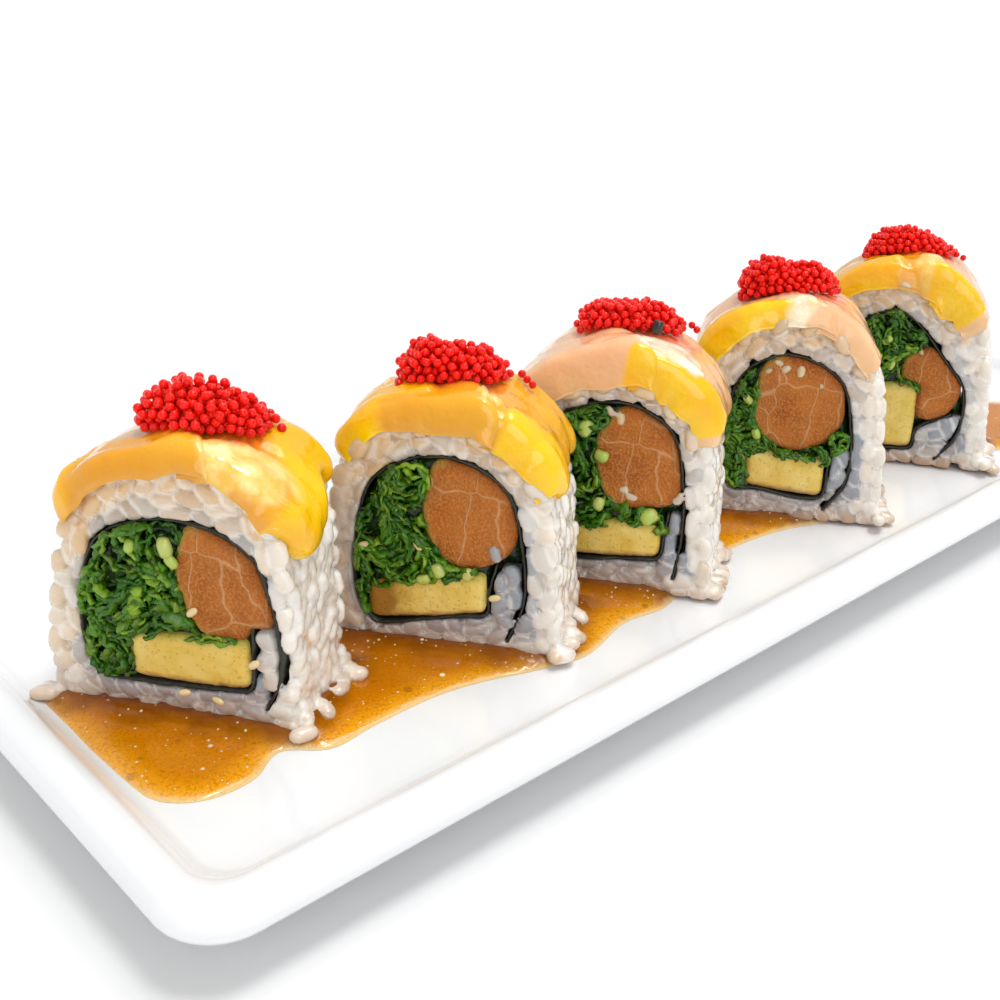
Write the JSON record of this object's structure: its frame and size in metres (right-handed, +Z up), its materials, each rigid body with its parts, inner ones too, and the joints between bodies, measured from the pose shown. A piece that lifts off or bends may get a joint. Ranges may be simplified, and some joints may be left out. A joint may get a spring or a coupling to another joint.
{
  "type": "sunrise roll on a serving plate",
  "caption": "Row of sushi roll pieces round salmon, omelette and seaweed salad, draped with sauced fish slices and topped with roe, in sauce on a long plate.",
  "frame": {"origin": "under the middle of the plate, on the surface that the plate's foot ring stands on", "axes": "+X along the plate, +Y across it away from the side that the cut faces look to, +Z up"},
  "size_m": [0.2996, 0.1276, 0.0676],
  "materials": {
    "porcelain": "smooth glossy white glaze",
    "brown_sauce": "wet, glossy, amber brown",
    "rice": "moist cooked grains, satin",
    "nori": "moist sheet, nearly black",
    "seaweed": "wet, glossy, green",
    "salmon": "moist, orange with pale fat lines",
    "omelette": "soft, porous, yellow",
    "fish": "glossy, pale peach with cream patches",
    "glazed_fish": "wet, glossy, yellow sauce over fish",
    "roe": "wet, glossy, red, translucent"
  },
  "bodies": {
    "root": {"plate": "porcelain", "sauce_pool": "brown_sauce", "roll_1_rice": "rice", "roll_1_nori": "nori", "roll_1_seaweed": "seaweed", "roll_1_salmon": "salmon", "roll_1_omelette": "omelette", "roll_1_slice_left": "glazed_fish", "roll_1_slice_right": "glazed_fish", "roll_1_roe": "roe", "roll_2_rice": "rice", "roll_2_nori": "nori", "roll_2_seaweed": "seaweed", "roll_2_salmon": "salmon", "roll_2_omelette": "omelette", "roll_2_slice_left": "glazed_fish", "roll_2_slice_right": "glazed_fish", "roll_2_roe": "roe", "roll_3_rice": "rice", "roll_3_nori": "nori", "roll_3_seaweed": "seaweed", "roll_3_salmon": "salmon", "roll_3_omelette": "omelette", "roll_3_slice_left": "fish", "roll_3_slice_right": "fish", "roll_3_roe": "roe", "roll_4_rice": "rice", "roll_4_nori": "nori", "roll_4_seaweed": "seaweed", "roll_4_salmon": "salmon", "roll_4_omelette": "omelette", "roll_4_slice_left": "fish", "roll_4_slice_right": "fish", "roll_4_roe": "roe", "roll_5_rice": "rice", "roll_5_nori": "nori", "roll_5_seaweed": "seaweed", "roll_5_salmon": "salmon", "roll_5_omelette": "omelette", "roll_5_slice_left": "glazed_fish", "roll_5_slice_right": "fish", "roll_5_roe": "roe"}
  },
  "joints": []
}
